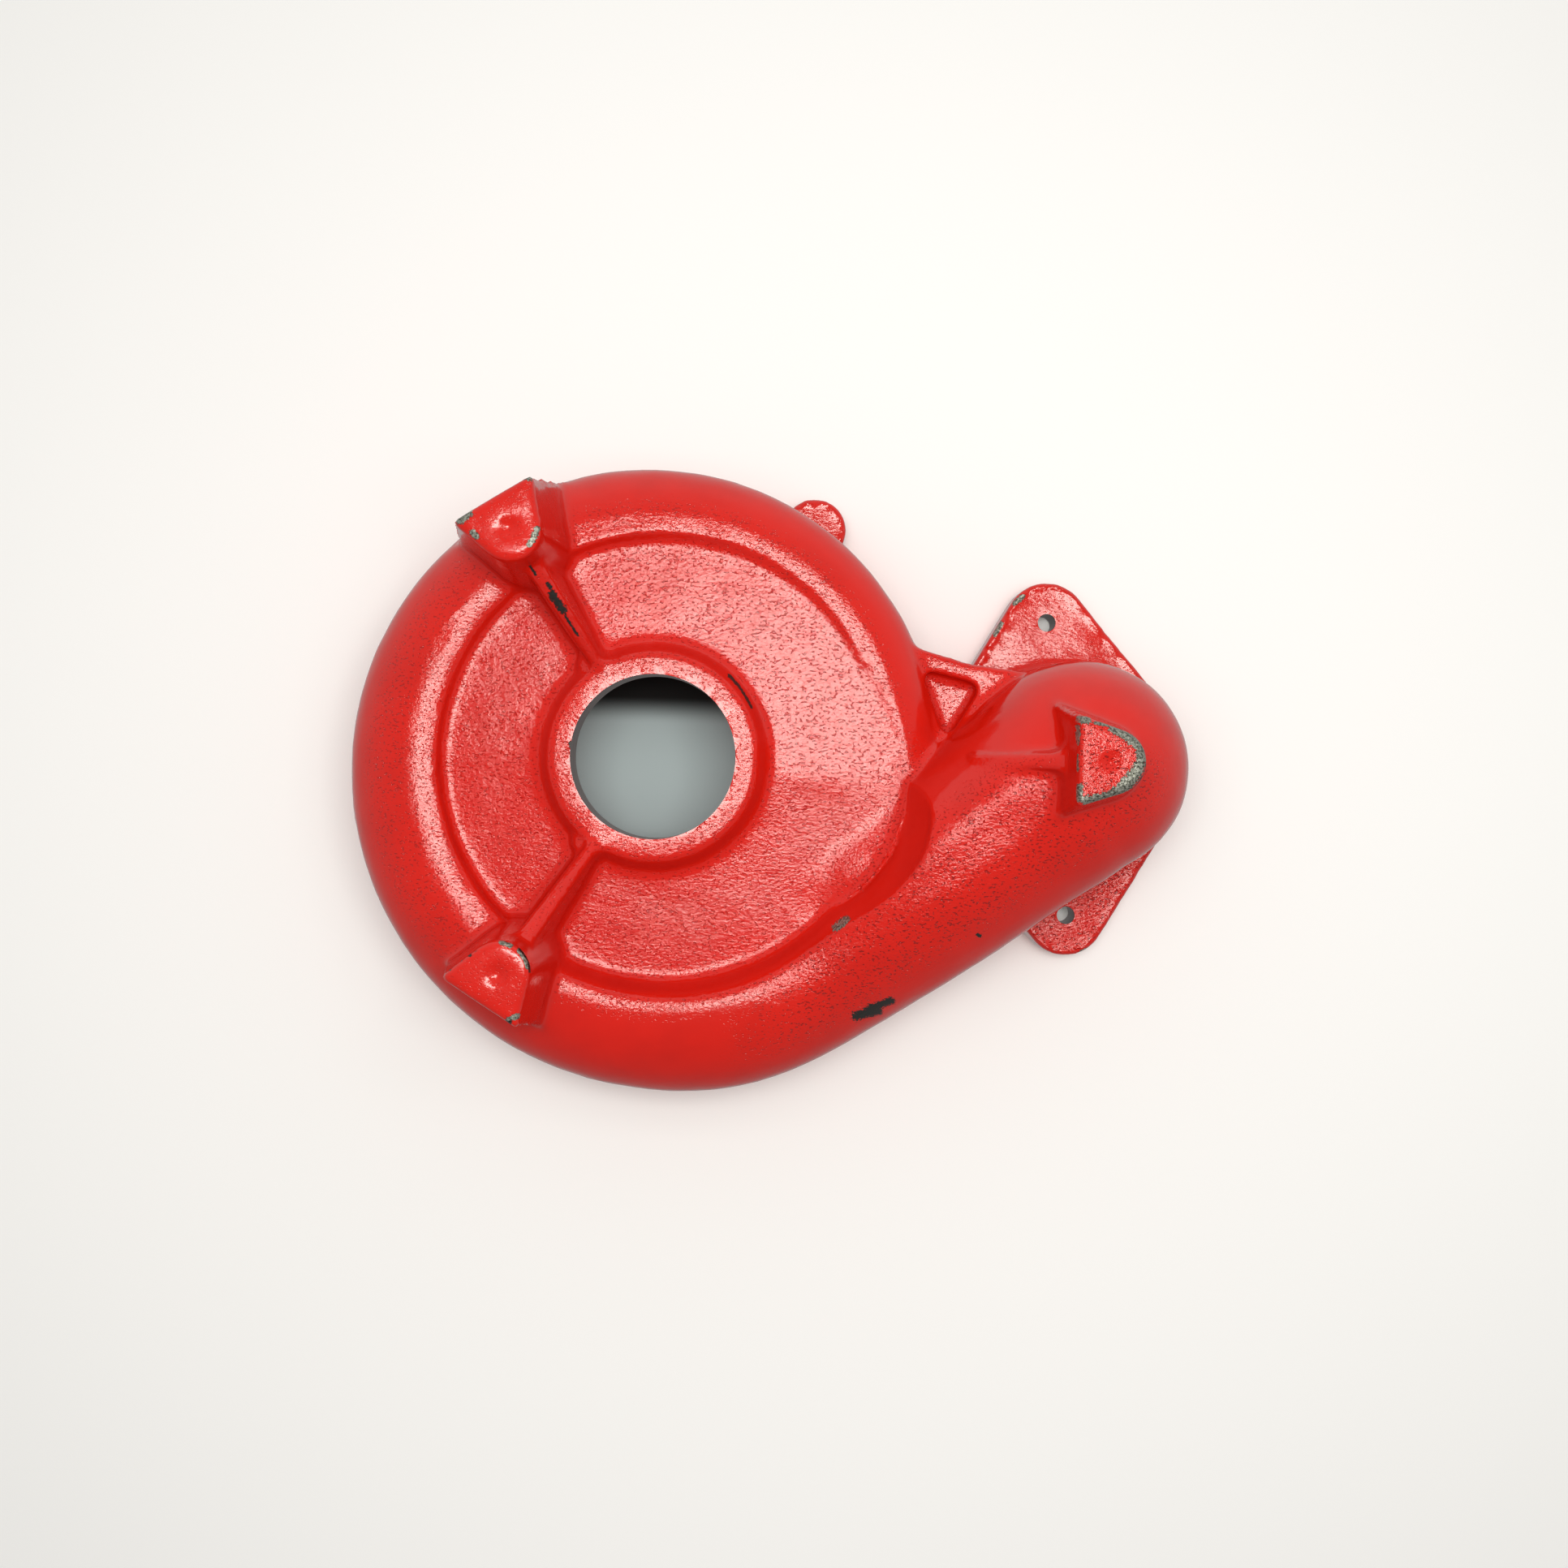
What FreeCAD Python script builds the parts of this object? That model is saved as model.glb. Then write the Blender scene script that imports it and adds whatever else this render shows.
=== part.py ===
"""Volute casing of a small submersible pump: one iron casting, modelled in millimetres.

It stands feet up on its motor face. Z is the shaft axis, +Z points out of the suction side,
+X points from the shaft axis to the discharge axis, and the motor face is at Z = 0.
Azimuths are in degrees about Z, counter-clockwise seen from the suction side.
"""
import FreeCAD, Part
import math
import os

import Sketcher
from FreeCAD import Placement, Rotation, Vector

NODE = "volute_casing"

# Driving dimensions: name, value, meaning
DIMENSIONS = [
    ("bore_r", 21, "suction bore radius"),
    ("boss_face_r", 26.6, "outer radius of the boss face"),
    ("boss_foot_r", 29.6, "outer radius of the boss on the cover"),
    ("boss_top", 58, "height of the boss face"),
    ("cover_top", 52, "outer surface of the suction cover"),
    ("cover_wall", 7, "thickness of the suction cover"),
    ("barrel_wall", 6, "wall of the barrel round the impeller chamber"),
    ("rim_wall", 6, "wall of the motor rim round its register"),
    ("rim_depth", 11, "thickness of the motor rim and its lugs"),
    ("start_azimuth", -15, "azimuth where the spiral tube begins"),
    ("growth_azimuth", 26.5, "azimuth where the spiral begins to grow"),
    ("throat_azimuth", 313.5, "azimuth where the spiral turns into the neck"),
    ("start_reach", 74, "outer radius of the spiral at its start"),
    ("throat_reach", 92.2, "outer radius of the spiral at the throat"),
    ("early_share", 0.274, "share of the growth that is even over the turn"),
    ("start_tube_r", 12, "tube radius at the start"),
    ("throat_tube_r", 23.3, "tube radius at the throat"),
    ("start_crest", 52.6, "height of the tube's crest at the start"),
    ("throat_crest", 60.4, "height of the tube's crest at the throat"),
    ("elbow_x", 110, "distance from shaft axis to discharge axis"),
    ("elbow_r", 28, "outer radius of the elbow dome"),
    ("elbow_mid", 46, "height of the elbow dome's centre"),
    ("tube_step", 0.6, "how much narrower and lower than the dome the neck ends"),
    ("tube_wall", 5.5, "wall of the spiral, neck and elbow"),
    ("recess_x", 2.5, "centre of the recess over the cover, along X"),
    ("recess_y", -0.6, "centre of the recess over the cover, along Y"),
    ("recess_r", 57, "radius of the recess floor"),
    ("bay_x", 26, "centre of the bay beside the throat, along X"),
    ("bay_y", -4, "centre of the bay beside the throat, along Y"),
    ("bay_r", 39, "radius of the bay floor"),
    ("recess_draft", 28, "slope of the recess wall off vertical"),
    ("ceiling_spread", 2.2, "how far the waterway's ceiling spreads past the recess floor"),
    ("register_r", 64, "radius of the register that takes the motor"),
    ("register_depth", 5, "depth of the register"),
    ("chamber_r", 58, "radius of the impeller chamber"),
    ("lug_reach", 77, "radius of the lug bolt circle"),
    ("lug_r", 8.7, "radius of a lug's round end"),
    ("lug_root", 11.5, "half width of a lug where it enters the rim"),
    ("lug_overlap", 6, "how deep a lug enters the rim"),
    ("lug_azimuth", 58.3, "azimuth of the first lug"),
    ("lug_count", 4, "number of lugs"),
    ("lug_hole_depth", 9, "depth of a lug's tapped hole"),
    ("thread_core_r", 2.5, "radius of an M6 thread's core hole"),
    ("flange_r", 35.2, "radius of the outlet flange's middle"),
    ("flange_ear_r", 11.3, "radius of the outlet flange's ears"),
    ("flange_pitch", 82.4, "distance between the outlet flange's holes"),
    ("flange_depth", 11, "thickness of the outlet flange"),
    ("flange_turn", 95.2, "azimuth of the outlet flange's line of holes"),
    ("web_top", 45, "height of the web in the crotch"),
    ("web_bottom", 33, "height of the web's underside"),
    ("web_spiral_x", 50.3, "web's upper corner inside the spiral, along X"),
    ("web_spiral_y", 37, "web's upper corner inside the spiral, along Y"),
    ("web_edge_x", 65.5, "web's upper edge where it leaves the spiral, along X"),
    ("web_edge_y", 31.1, "web's upper edge where it leaves the spiral, along Y"),
    ("web_bend_x", 80.6, "bend in the web's upper edge, along X"),
    ("web_bend_y", 26.7, "bend in the web's upper edge, along Y"),
    ("web_elbow_x", 98.8, "web's upper corner inside the elbow, along X"),
    ("web_elbow_y", 24.4, "web's upper corner inside the elbow, along Y"),
    ("web_neck_x", 96, "web's corner inside the neck, along X"),
    ("web_valley_x", 66.6, "web's lowest corner, along X"),
    ("web_valley_y", -16.8, "web's lowest corner, along Y"),
    ("web_hub_x", 59.2, "web's corner inside the cover, along X"),
    ("pocket_spiral_x", 68.5, "pocket's corner beside the spiral, along X"),
    ("pocket_spiral_y", 24.8, "pocket's corner beside the spiral, along Y"),
    ("pocket_elbow_x", 84, "pocket's corner beside the elbow, along X"),
    ("pocket_elbow_y", 20.9, "pocket's corner beside the elbow, along Y"),
    ("pocket_valley_x", 75.7, "pocket's corner in the valley, along X"),
    ("pocket_valley_y", 6.4, "pocket's corner in the valley, along Y"),
    ("web_pocket_depth", 6.5, "depth of the web's pocket"),
    ("web_pocket_draft", 12, "slope of the pocket's walls off vertical"),
    ("foot_top", 88, "height of the feet"),
    ("foot_root", 46, "height where the feet end inside the tube"),
    ("foot_wide", 21.6, "width of a foot's flat side"),
    ("foot_deep", 16, "depth of a foot from flat side to round end"),
    ("foot_end_r", 7.5, "radius of a foot's round end"),
    ("foot_draft", 5, "draft of the two cover feet"),
    ("elbow_foot_draft", 8, "draft of the elbow foot"),
    ("foot_reach", 70.4, "radius of the flat side of the two cover feet"),
    ("foot_azimuth", 122.2, "azimuth of the cover feet, either side of +X"),
    ("elbow_foot_x", 102.8, "flat side of the elbow foot, along X"),
    ("elbow_foot_y", 1.3, "middle of the elbow foot, along Y"),
    ("dimple_r", 2.5, "radius of the dimple in each foot"),
    ("dimple_depth", 1.2, "depth of the dimple in each foot"),
    ("rib_low", 58, "height of a rib's crest at the boss"),
    ("rib_high", 80, "height of a rib's crest at its foot"),
    ("rib_thin", 2.6, "width of a rib's crest at its low end"),
    ("rib_thick", 4.4, "width of a rib's crest at its foot"),
    ("rib_spread", 2.2, "extra half width of a rib at its root"),
    ("elbow_rib_x", 80, "low end of the elbow rib, along X"),
    ("elbow_rib_low", 62.5, "height of the elbow rib's low end"),
    ("elbow_rib_high", 82, "height of the elbow rib's crest at its foot"),
    ("overlap", 1, "how deep a form starts inside the one that carries it"),
    ("overrun", 2, "how far a hollow's form runs past the face it opens"),
]

# Round sections round the spiral and along the neck, the one where the first loft ends, and where
# the seam of a round section lies, in degrees
SPIRAL_COUNT = 16
NECK_COUNT = 4
JOINT_INDEX = 7
SEAM_SLANT = 45

doc = FreeCAD.newDocument("volute_casing")
sheet = doc.addObject("Spreadsheet::Sheet", "Sizes")
for row, (alias, value, meaning) in enumerate(DIMENSIONS, start=1):
    sheet.set(f"A{row}", meaning)
    sheet.set(f"B{row}", str(value))
    sheet.setAlias(f"B{row}", alias)
doc.recompute()


def size(text):
    """Expression for the sheet's cells: every word in braces becomes a cell of the sheet."""
    return text.replace("{", "Sizes.").replace("}", "")


# Sketch helpers
def new_sketch(body, name, role, base=("0", "0", "0"), turn=None, axis=Vector(0, 1, 0)):
    """Sketch on the body's origin plane, moved by base and turned about one of the plane's axes."""
    plane = next(item for item in body.Origin.OriginFeatures if item.Role == role)
    sketch = body.newObject("Sketcher::SketchObject", name)
    sketch.AttachmentSupport = [(plane, "")]
    sketch.MapMode = "FlatFace"
    if turn is not None:
        sketch.AttachmentOffset = Placement(Vector(0, 0, 0), Rotation(axis, 1))
        sketch.setExpression("AttachmentOffset.Rotation.Angle", size(turn))
    for direction, text in zip("xyz", base):
        sketch.setExpression(f"AttachmentOffset.Base.{direction}", size(text))
    return sketch


def bind(sketch, constraint, text):
    """Adds a dimension whose value follows an expression."""
    index = sketch.addConstraint(constraint)
    sketch.setExpression(f"Constraints[{index}]", size(text))


def pin(sketch, geometry, point, across, along):
    """Holds one point of the sketch at two expressions."""
    values = [number(sketch, text) for text in (across, along)]
    bind(sketch, Sketcher.Constraint("DistanceX", -1, 1, geometry, point, values[0]), across)
    bind(sketch, Sketcher.Constraint("DistanceY", -1, 1, geometry, point, values[1]), along)


def number(sketch, text):
    return float(sketch.evalExpression(size(text)))


def add_circle(sketch, across, along, radius):
    centre = Vector(number(sketch, across), number(sketch, along), 0)
    value = number(sketch, radius)
    ring = sketch.addGeometry(Part.Circle(centre, Vector(0, 0, 1), value), False)
    bind(sketch, Sketcher.Constraint("Radius", ring, value), radius)
    pin(sketch, ring, 3, across, along)


def add_halved_round(sketch, across, along, radius):
    """Circle as two half turns that meet on a slant, which keeps the loft's seams off its equator."""
    rise = f"{radius} * sin({SEAM_SLANT})"
    centre = Vector(number(sketch, across), number(sketch, along), 0)
    value = number(sketch, radius)
    seam = Vector(math.cos(math.radians(SEAM_SLANT)), math.sin(math.radians(SEAM_SLANT)), 0) * value
    aside = Vector(-seam.y, seam.x, 0)
    sketch.addGeometry(Part.Arc(centre + seam, centre + aside, centre - seam), False)
    sketch.addGeometry(Part.Arc(centre - seam, centre - aside, centre + seam), False)
    sketch.addConstraint(Sketcher.Constraint("Coincident", 0, 2, 1, 1))
    sketch.addConstraint(Sketcher.Constraint("Coincident", 1, 2, 0, 1))
    pin(sketch, 0, 3, across, along)
    bind(sketch, Sketcher.Constraint("Radius", 0, value), radius)
    bind(sketch, Sketcher.Constraint("DistanceX", -1, 1, 1, 3, centre.x), across)
    for point, text in ((1, f"{along} + {rise}"), (2, f"{along} - {rise}")):
        height = number(sketch, text)
        bind(sketch, Sketcher.Constraint("DistanceY", -1, 1, 0, point, height), text)


def add_polygon(sketch, corners):
    """Closed outline of straight edges through corners given as pairs of expressions."""
    points = [Vector(number(sketch, across), number(sketch, along), 0) for across, along in corners]
    count = len(points)
    for index in range(count):
        edge = Part.LineSegment(points[index], points[(index + 1) % count])
        sketch.addGeometry(edge, False)
    for index in range(count):
        following = (index + 1) % count
        sketch.addConstraint(Sketcher.Constraint("Coincident", index, 2, following, 1))
        pin(sketch, index, 1, *corners[index])


def add_dome(sketch, radius, low, centre):
    """Half outline of an upright cylinder with a round top, for turning about the sketch's V axis."""
    wide, floor, middle = (number(sketch, text) for text in (radius, low, centre))
    corners = [Vector(0, middle + wide), Vector(0, floor), Vector(wide, floor), Vector(wide, middle)]
    for start, end in zip(corners, corners[1:]):
        sketch.addGeometry(Part.LineSegment(start, end), False)
    ball = Part.Circle(Vector(0, middle, 0), Vector(0, 0, 1), wide)
    sketch.addGeometry(Part.ArcOfCircle(ball, 0, math.pi / 2), False)
    for index in range(2):
        sketch.addConstraint(Sketcher.Constraint("Coincident", index, 2, index + 1, 1))
    sketch.addConstraint(Sketcher.Constraint("Coincident", 2, 2, 3, 1))
    sketch.addConstraint(Sketcher.Constraint("Coincident", 3, 2, 0, 1))
    pin(sketch, 3, 3, "0", centre)
    pin(sketch, 1, 1, "0", low)
    pin(sketch, 2, 1, radius, low)
    pin(sketch, 3, 1, radius, centre)
    sketch.addConstraint(Sketcher.Constraint("PointOnObject", 3, 2, -2))


# Feature helpers
def extrude(body, kind, name, sketch, length, reverse=False, draft=None):
    feature = body.newObject(f"PartDesign::{kind}", name)
    feature.Profile = sketch
    feature.setExpression("Length", size(length))
    feature.Reversed = reverse
    if draft is not None:
        feature.setExpression("TaperAngle", size(draft))
    sketch.Visibility = False
    doc.recompute()
    return feature


def turn_solid(body, kind, name, sketch):
    feature = body.newObject(f"PartDesign::{kind}", name)
    feature.Profile = sketch
    feature.ReferenceAxis = (sketch, ["V_Axis"])
    feature.Angle = 360
    sketch.Visibility = False
    doc.recompute()
    return feature


def loft(body, name, sketches, ruled=False):
    feature = body.newObject("PartDesign::AdditiveLoft", name)
    feature.Profile = sketches[0]
    feature.Sections = sketches[1:]
    feature.Ruled = ruled
    for sketch in sketches:
        sketch.Visibility = False
    doc.recompute()
    return feature


# Spiral tube and neck
def station_terms(index):
    """Azimuth, tube radius, centre reach and centre height of one station round the spiral."""
    share = index / (SPIRAL_COUNT - 1)
    azimuth = f"({{start_azimuth}} + {share} * ({{throat_azimuth}} - {{start_azimuth}}))"
    grown = f"(max(0; {azimuth} - {{growth_azimuth}}) / ({{throat_azimuth}} - {{growth_azimuth}}))"
    spread = f"({{early_share}} * {grown} + (1 - {{early_share}}) * {grown} ^ 2)"
    tube = f"({{start_tube_r}} + ({{throat_tube_r}} - {{start_tube_r}}) * {grown})"
    reach = f"({{start_reach}} + ({{throat_reach}} - {{start_reach}}) * {spread} - {tube})"
    middle = f"({{start_crest}} + ({{throat_crest}} - {{start_crest}}) * {grown} - {tube})"
    return azimuth, tube, reach, middle


def tube_sections(body, name, thinner):
    """Round sections of the spiral and the neck, smaller than the casting by the given amount."""
    sections = []
    for index in range(SPIRAL_COUNT):
        azimuth, tube, reach, middle = station_terms(index)
        sketch = new_sketch(body, f"{name}_turn_{index}", "XZ_Plane", turn=azimuth)
        add_halved_round(sketch, reach, middle, f"({tube} - {thinner})")
        sections.append(sketch)
    azimuth, tube, reach, middle = station_terms(SPIRAL_COUNT - 1)
    throat_x = f"({reach} * cos({azimuth}))"
    throat_y = f"({reach} * sin({azimuth}))"
    across = f"(atan2(-{throat_y}; {{elbow_x}} - {throat_x}) - 90 deg)"
    for index in range(1, NECK_COUNT + 1):
        share = index / NECK_COUNT
        eased = share * (1.5 - 0.5 * share)
        place_x = f"({throat_x} + {share} * ({{elbow_x}} - {throat_x}))"
        place_y = f"({throat_y} * (1 - {share}))"
        height = f"({middle} + {eased} * ({{elbow_mid}} - {{tube_step}} - {middle}))"
        radius = f"({tube} + {eased} * ({{elbow_r}} - {{tube_step}} - {tube}) - {thinner})"
        base = (place_x, height, f"-{place_y}")
        sketch = new_sketch(body, f"{name}_neck_{index}", "XZ_Plane", base=base, turn=across)
        add_halved_round(sketch, "0", "0", radius)
        sections.append(sketch)
    return sections


def add_tube(body, name, thinner):
    """Spiral and neck as two lofts end to end, because the spiral's start lies inside its neck."""
    sections = tube_sections(body, name, thinner)
    loft(body, f"{name}_start", sections[: JOINT_INDEX + 1])
    loft(body, f"{name}_end", sections[JOINT_INDEX:])


def add_recess_ring(sketch):
    """Outline round the recess and its bay together, a little wider than their floors."""
    rounds = []
    for part in ("recess", "bay"):
        place = Vector(number(sketch, f"{{{part}_x}}"), number(sketch, f"{{{part}_y}}"))
        rounds.append((place, number(sketch, f"{{{part}_r}} + {{ceiling_spread}}")))
    (main, main_r), (bay, bay_r) = rounds
    apart = (bay - main).Length
    along = (apart ** 2 + main_r ** 2 - bay_r ** 2) / (2 * apart)
    aside = (main_r ** 2 - along ** 2) ** 0.5
    toward = (bay - main) * (1 / apart)
    across = Vector(-toward.y, toward.x)
    upper = main + toward * along + across * aside
    lower = main + toward * along - across * aside
    sketch.addGeometry(Part.Arc(upper, main - toward * main_r, lower), False)
    sketch.addGeometry(Part.Arc(lower, bay + toward * bay_r, upper), False)
    sketch.addConstraint(Sketcher.Constraint("Coincident", 0, 2, 1, 1))
    sketch.addConstraint(Sketcher.Constraint("Coincident", 1, 2, 0, 1))
    for index, part in enumerate(("recess", "bay")):
        pin(sketch, index, 3, f"{{{part}_x}}", f"{{{part}_y}}")
        bind(sketch, Sketcher.Constraint("Radius", index, rounds[index][1]), f"{{{part}_r}} + {{ceiling_spread}}")


# Waterway: the shape of the sand core that leaves the hollow in the casting
def make_waterway():
    body = doc.addObject("PartDesign::Body", "waterway")
    add_tube(body, "channel", "{tube_wall}")
    ceiling = "{cover_top} - {cover_wall}"
    sketch = new_sketch(body, "ceiling_outline", "XY_Plane", base=("0", "0", ceiling))
    add_recess_ring(sketch)
    extrude(body, "Pocket", "ceiling_cut", sketch, "{foot_top} - {cover_top}", True, "{recess_draft}")
    sketch = new_sketch(body, "chamber_outline", "XZ_Plane")
    add_polygon(sketch, [
        ("0", "-{overrun}"),
        ("{register_r}", "-{overrun}"),
        ("{register_r}", "{register_depth}"),
        ("{chamber_r}", "{register_depth}"),
        ("{chamber_r}", ceiling),
        ("0", ceiling),
    ])
    turn_solid(body, "Revolution", "chamber", sketch)
    sketch = new_sketch(body, "outlet_outline", "XZ_Plane", base=("{elbow_x}", "0", "0"))
    add_dome(sketch, "{elbow_r} - {tube_wall}", "-{overrun}", "{elbow_mid}")
    turn_solid(body, "Revolution", "outlet", sketch)
    sketch = new_sketch(body, "bore_outline", "XY_Plane", base=("0", "0", f"{ceiling} - {{overrun}}"))
    add_circle(sketch, "0", "0", "{bore_r}")
    extrude(body, "Pad", "bore", sketch, "{boss_top} - {cover_top} + {cover_wall} + 2 * {overrun}")
    return body


# Casting
def add_barrel(body):
    sketch = new_sketch(body, "barrel_outline", "XZ_Plane")
    add_polygon(sketch, [
        ("0", "0"),
        ("{register_r} + {rim_wall}", "0"),
        ("{register_r} + {rim_wall}", "{rim_depth}"),
        ("{chamber_r} + {barrel_wall}", "{rim_depth}"),
        ("{chamber_r} + {barrel_wall}", "{cover_top}"),
        ("0", "{cover_top}"),
    ])
    turn_solid(body, "Revolution", "barrel", sketch)


def add_recess(body):
    """Two overlapping rounds with sloping walls, sunk to the outer surface of the cover."""
    for part in ("recess", "bay"):
        sketch = new_sketch(body, f"{part}_outline", "XY_Plane", base=("0", "0", "{cover_top}"))
        add_circle(sketch, f"{{{part}_x}}", f"{{{part}_y}}", f"{{{part}_r}}")
        extrude(body, "Pocket", part, sketch, "{foot_top} - {cover_top}", True, "{recess_draft}")


def add_boss(body):
    sketch = new_sketch(body, "boss_outline", "XZ_Plane")
    add_polygon(sketch, [
        ("0", "{cover_top} - {overlap}"),
        ("{boss_foot_r}", "{cover_top} - {overlap}"),
        ("{boss_foot_r}", "{cover_top}"),
        ("{boss_face_r}", "{boss_top}"),
        ("0", "{boss_top}"),
    ])
    turn_solid(body, "Revolution", "boss", sketch)


def add_elbow(body):
    sketch = new_sketch(body, "elbow_outline", "XZ_Plane", base=("{elbow_x}", "0", "0"))
    add_dome(sketch, "{elbow_r}", "0", "{elbow_mid}")
    turn_solid(body, "Revolution", "elbow", sketch)


def add_flange(body):
    """Two-bolt flange: a round middle and two round ears, joined by tangent edges."""
    sketch = new_sketch(
        body, "flange_outline", "XY_Plane", ("{elbow_x}", "0", "0"), "{flange_turn}", Vector(0, 0, 1)
    )
    pitch, wide, ear = (number(sketch, text) for text in ("{flange_pitch}", "{flange_r}", "{flange_ear_r}"))
    lean_x = (wide - ear) / (pitch / 2)
    lean = Vector(lean_x, (1 - lean_x ** 2) ** 0.5, 0)
    mirrored = Vector(lean.x, -lean.y, 0)
    ends = [
        (Vector(pitch / 2, 0, 0), ear, mirrored, Vector(1, 0, 0), lean),
        (Vector(0, 0, 0), wide, lean, Vector(0, 1, 0), -mirrored),
        (Vector(-pitch / 2, 0, 0), ear, -mirrored, Vector(-1, 0, 0), -lean),
        (Vector(0, 0, 0), wide, -lean, Vector(0, -1, 0), mirrored),
    ]
    arcs = []
    for centre, radius, first, middle, last in ends:
        arcs.append(Part.Arc(*(centre + direction * radius for direction in (first, middle, last))))
    for index, (arc, following) in enumerate(zip(arcs, arcs[1:] + arcs[:1])):
        sketch.addGeometry(arc, False)
        sketch.addGeometry(Part.LineSegment(arc.EndPoint, following.StartPoint), False)
    edges = 2 * len(arcs)
    for index in range(edges):
        sketch.addConstraint(Sketcher.Constraint("Tangent", index, 2, (index + 1) % edges, 1))
    pin(sketch, 0, 3, "{flange_pitch} / 2", "0")
    pin(sketch, 2, 3, "0", "0")
    pin(sketch, 4, 3, "-{flange_pitch} / 2", "0")
    sketch.addConstraint(Sketcher.Constraint("Coincident", 6, 3, 2, 3))
    bind(sketch, Sketcher.Constraint("Radius", 0, ear), "{flange_ear_r}")
    bind(sketch, Sketcher.Constraint("Radius", 2, wide), "{flange_r}")
    bind(sketch, Sketcher.Constraint("Radius", 4, ear), "{flange_ear_r}")
    sketch.addConstraint(Sketcher.Constraint("Equal", 2, 6))
    extrude(body, "Pad", "flange", sketch, "{flange_depth}")


def add_lugs(body):
    """Round-ended lugs that widen towards the rim, spaced evenly round it."""
    sketch = new_sketch(body, "lug_outline", "XY_Plane", turn="{lug_azimuth}", axis=Vector(0, 0, 1))
    reach, radius, root = (number(sketch, text) for text in ("{lug_reach}", "{lug_r}", "{lug_root}"))
    inner = number(sketch, "{register_r} + {rim_wall} - {lug_overlap}")
    centre = Vector(reach, 0, 0)
    tip = Part.Arc(centre + Vector(0, -radius, 0), centre + Vector(radius, 0, 0), centre + Vector(0, radius, 0))
    sketch.addGeometry(tip, False)
    corners = [tip.EndPoint, Vector(inner, root, 0), Vector(inner, -root, 0), tip.StartPoint]
    for start, end in zip(corners, corners[1:]):
        sketch.addGeometry(Part.LineSegment(start, end), False)
    sketch.addConstraint(Sketcher.Constraint("Tangent", 0, 2, 1, 1))
    sketch.addConstraint(Sketcher.Constraint("Coincident", 1, 2, 2, 1))
    sketch.addConstraint(Sketcher.Constraint("Coincident", 2, 2, 3, 1))
    sketch.addConstraint(Sketcher.Constraint("Tangent", 3, 2, 0, 1))
    pin(sketch, 0, 3, "{lug_reach}", "0")
    bind(sketch, Sketcher.Constraint("Radius", 0, radius), "{lug_r}")
    pin(sketch, 1, 2, "{register_r} + {rim_wall} - {lug_overlap}", "{lug_root}")
    pin(sketch, 2, 2, "{register_r} + {rim_wall} - {lug_overlap}", "-{lug_root}")
    lug = extrude(body, "Pad", "lug", sketch, "{rim_depth}")
    repeat(body, "lugs", lug)


def repeat(body, name, feature):
    pattern = body.newObject("PartDesign::PolarPattern", name)
    pattern.Originals = [feature]
    axis = next(item for item in body.Origin.OriginFeatures if item.Role == "Z_Axis")
    pattern.Axis = (axis, [""])
    pattern.Angle = 360
    pattern.setExpression("Occurrences", size("{lug_count}"))
    body.Tip = pattern
    doc.recompute()


def add_web(body):
    """Web that ties the spiral to the elbow, with a three-cornered pocket in its top."""
    sketch = new_sketch(body, "web_outline", "XY_Plane", base=("0", "0", "{web_bottom}"))
    add_polygon(sketch, [
        ("{web_spiral_x}", "{web_spiral_y}"),
        ("{web_edge_x}", "{web_edge_y}"),
        ("{web_bend_x}", "{web_bend_y}"),
        ("{web_elbow_x}", "{web_elbow_y}"),
        ("{web_neck_x}", "0"),
        ("{web_valley_x}", "{web_valley_y}"),
        ("{web_hub_x}", "0"),
    ])
    extrude(body, "Pad", "web", sketch, "{web_top} - {web_bottom}")
    sketch = new_sketch(body, "web_pocket_outline", "XY_Plane", base=("0", "0", "{web_top}"))
    add_polygon(sketch, [
        ("{pocket_spiral_x}", "{pocket_spiral_y}"),
        ("{pocket_elbow_x}", "{pocket_elbow_y}"),
        ("{pocket_valley_x}", "{pocket_valley_y}"),
    ])
    extrude(body, "Pocket", "web_pocket", sketch, "{web_pocket_depth}", draft="{web_pocket_draft}")


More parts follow.
